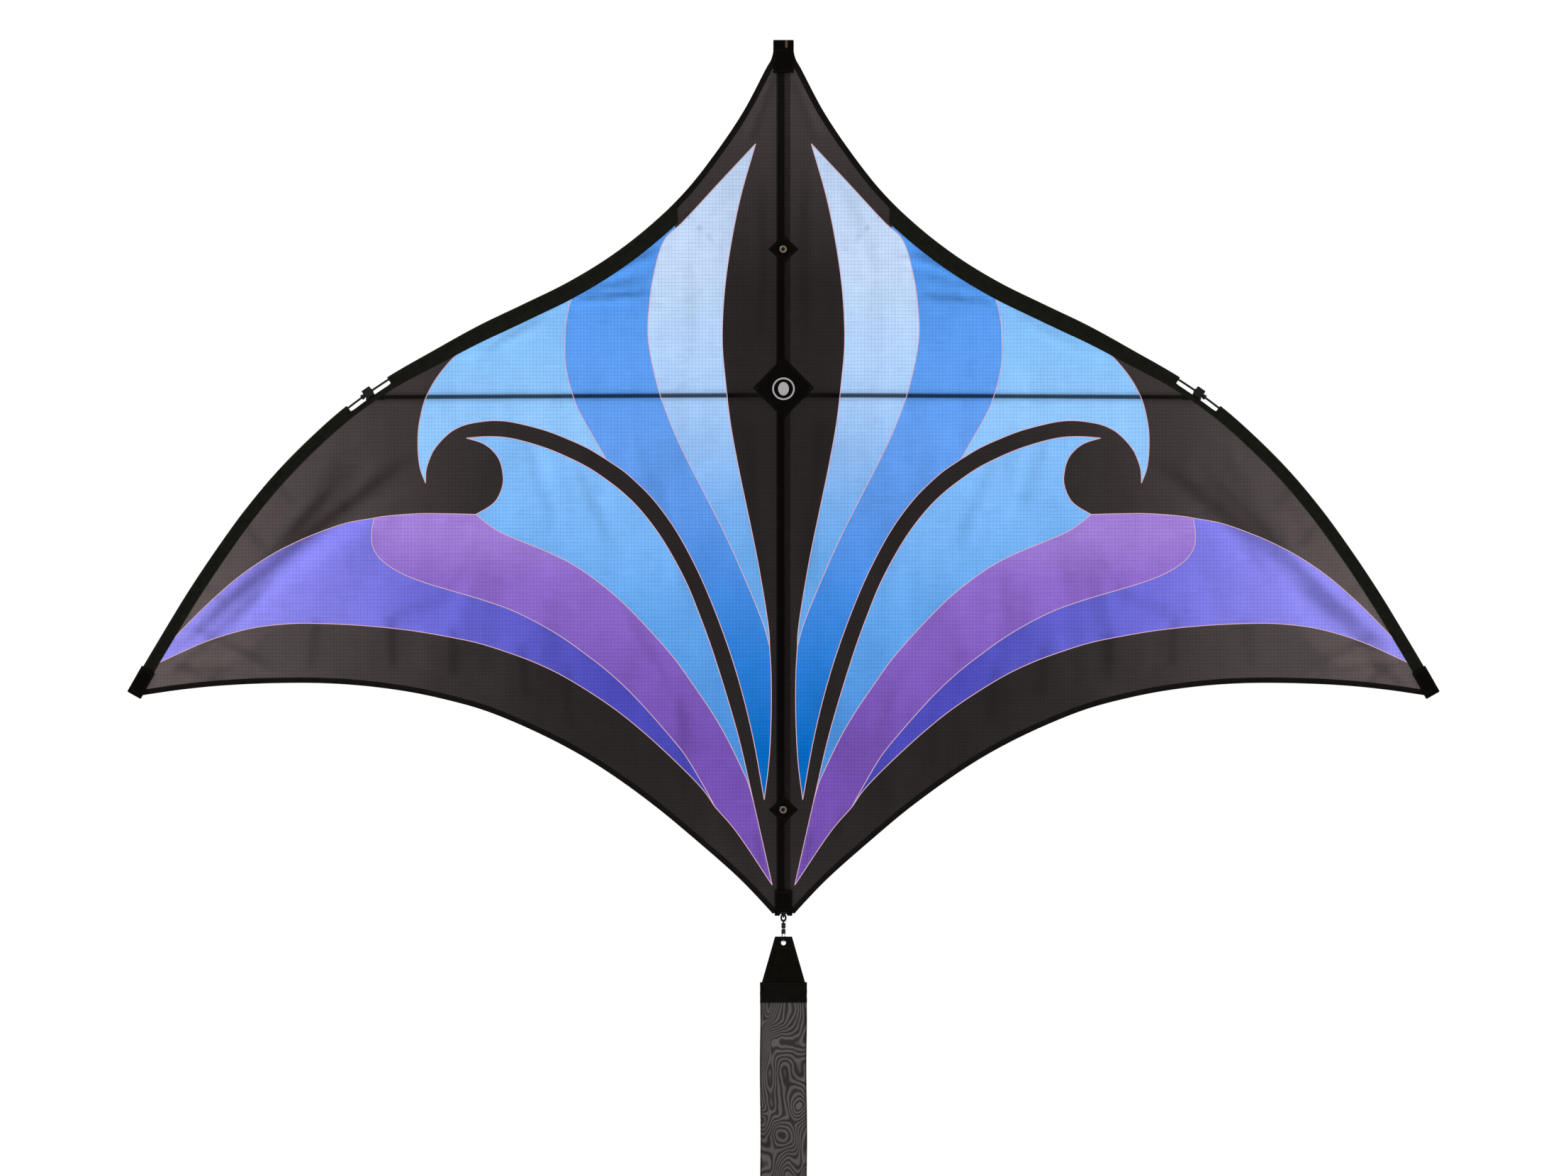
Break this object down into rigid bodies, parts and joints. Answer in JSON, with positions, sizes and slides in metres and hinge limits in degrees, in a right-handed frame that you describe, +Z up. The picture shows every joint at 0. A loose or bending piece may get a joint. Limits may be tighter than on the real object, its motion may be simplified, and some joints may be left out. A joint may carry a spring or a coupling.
{
  "type": "manta-shaped framed kite",
  "caption": "Framed single-line kite with manta-shaped wings in coloured panels, a folding spar and a ribbon tail on a swivel.",
  "frame": {"origin": "on top of the webbing fold at the nose, on the centre line, in the plane of the sail", "axes": "+Z up from the tail to the nose, +X to the right seen from the front, +Y from the front of the sail to its back, where the frame is"},
  "size_m": [1.8024, 0.0583, 1.6308],
  "materials": {
    "carbon": "wrapped carbon fibre tube",
    "cord": "braided cord",
    "dacron": "plain woven polyester tape",
    "elastic": "matt elastic band",
    "metal": "dull plated",
    "moulding": "injection moulded",
    "ribbon": "sheer lining cloth",
    "sailcloth": "coated ripstop, dyed in panels",
    "vinyl": "soft vinyl",
    "webbing": "ribbed polypropylene webbing"
  },
  "bodies": {
    "frame": {"bottom_webbing": "webbing", "centre_strap": "webbing", "centre_tube": "vinyl", "eyelet_lower": "metal", "eyelet_upper": "metal", "nose_webbing": "webbing", "patch_centre": "dacron", "patch_lower": "dacron", "patch_upper": "dacron", "sail_centre": "sailcloth", "spine": "carbon", "spine_cap_bottom": "vinyl", "spine_cap_top": "vinyl", "spine_pocket": "dacron", "tail_loop": "cord", "washer_lower": "metal", "washer_upper": "metal"},
    "wing_left": {"connector_left": "moulding", "edge_rod_cap_left": "vinyl", "edge_rod_left": "carbon", "edge_sleeve_left": "dacron", "nose_binding_left": "dacron", "sail_left": "sailcloth", "spreader_left": "carbon", "stopper_left": "moulding", "tip_webbing_left": "webbing", "trailing_binding_left": "dacron"},
    "wing_right": {"connector_right": "moulding", "edge_rod_cap_right": "vinyl", "edge_rod_right": "carbon", "edge_sleeve_right": "dacron", "nose_binding_right": "dacron", "sail_right": "sailcloth", "spreader_right": "carbon", "stopper_right": "moulding", "tip_webbing_right": "webbing", "trailing_binding_right": "dacron"},
    "swivel": {"swivel_eye": "metal"},
    "snap": {"swivel_barrel": "metal", "snap_frame": "metal"},
    "snap_gate": {"snap_gate": "metal"},
    "tail_tab": {"tail_tab": "webbing", "tail_hem": "ribbon"},
    "tail_ribbon": {"tail_ribbon": "ribbon", "tail_roll": "ribbon", "roll_band": "elastic"}
  },
  "joints": [
    {"name": "wing_left_fold", "type": "hinge", "parent": "frame", "child": "wing_left", "pos_m": [-0.0105, 0, 0], "axis": [0, 0, -1], "range_deg": [0, 60], "stiffness_Nm_per_rad": 1, "deforming": ["centre_tube"]},
    {"name": "wing_right_fold", "type": "hinge", "parent": "frame", "child": "wing_right", "pos_m": [0.0105, 0, 0], "axis": [0, 0, 1], "range_deg": [0, 60], "stiffness_Nm_per_rad": 1, "deforming": ["centre_tube"]},
    {"name": "swivel_swing", "type": "hinge", "parent": "frame", "child": "swivel", "pos_m": [0, 0.0038, -1.20228], "axis": [1, 0, 0], "range_deg": [-60, 60]},
    {"name": "swivel_spin", "type": "hinge", "parent": "swivel", "child": "snap", "pos_m": [0, 0.0038, -1.2172], "axis": [0, 0, 1], "continuous": true},
    {"name": "snap_gate_turn", "type": "hinge", "parent": "snap", "child": "snap_gate", "pos_m": [0.00092, 0.00472, -1.2216], "axis": [-0.7071, 0.7071, 0], "range_deg": [0, 15], "stiffness_Nm_per_rad": 0.01},
    {"name": "tail_swing", "type": "hinge", "parent": "snap", "child": "tail_tab", "pos_m": [0, 0.0038, -1.2388], "axis": [0, 1, 0], "range_deg": [-28, 28]},
    {"name": "tail_bend", "type": "hinge", "parent": "tail_tab", "child": "tail_ribbon", "pos_m": [0, 0.0038, -1.3236], "axis": [1, 0, 0], "range_deg": [-60, 60]}
  ]
}
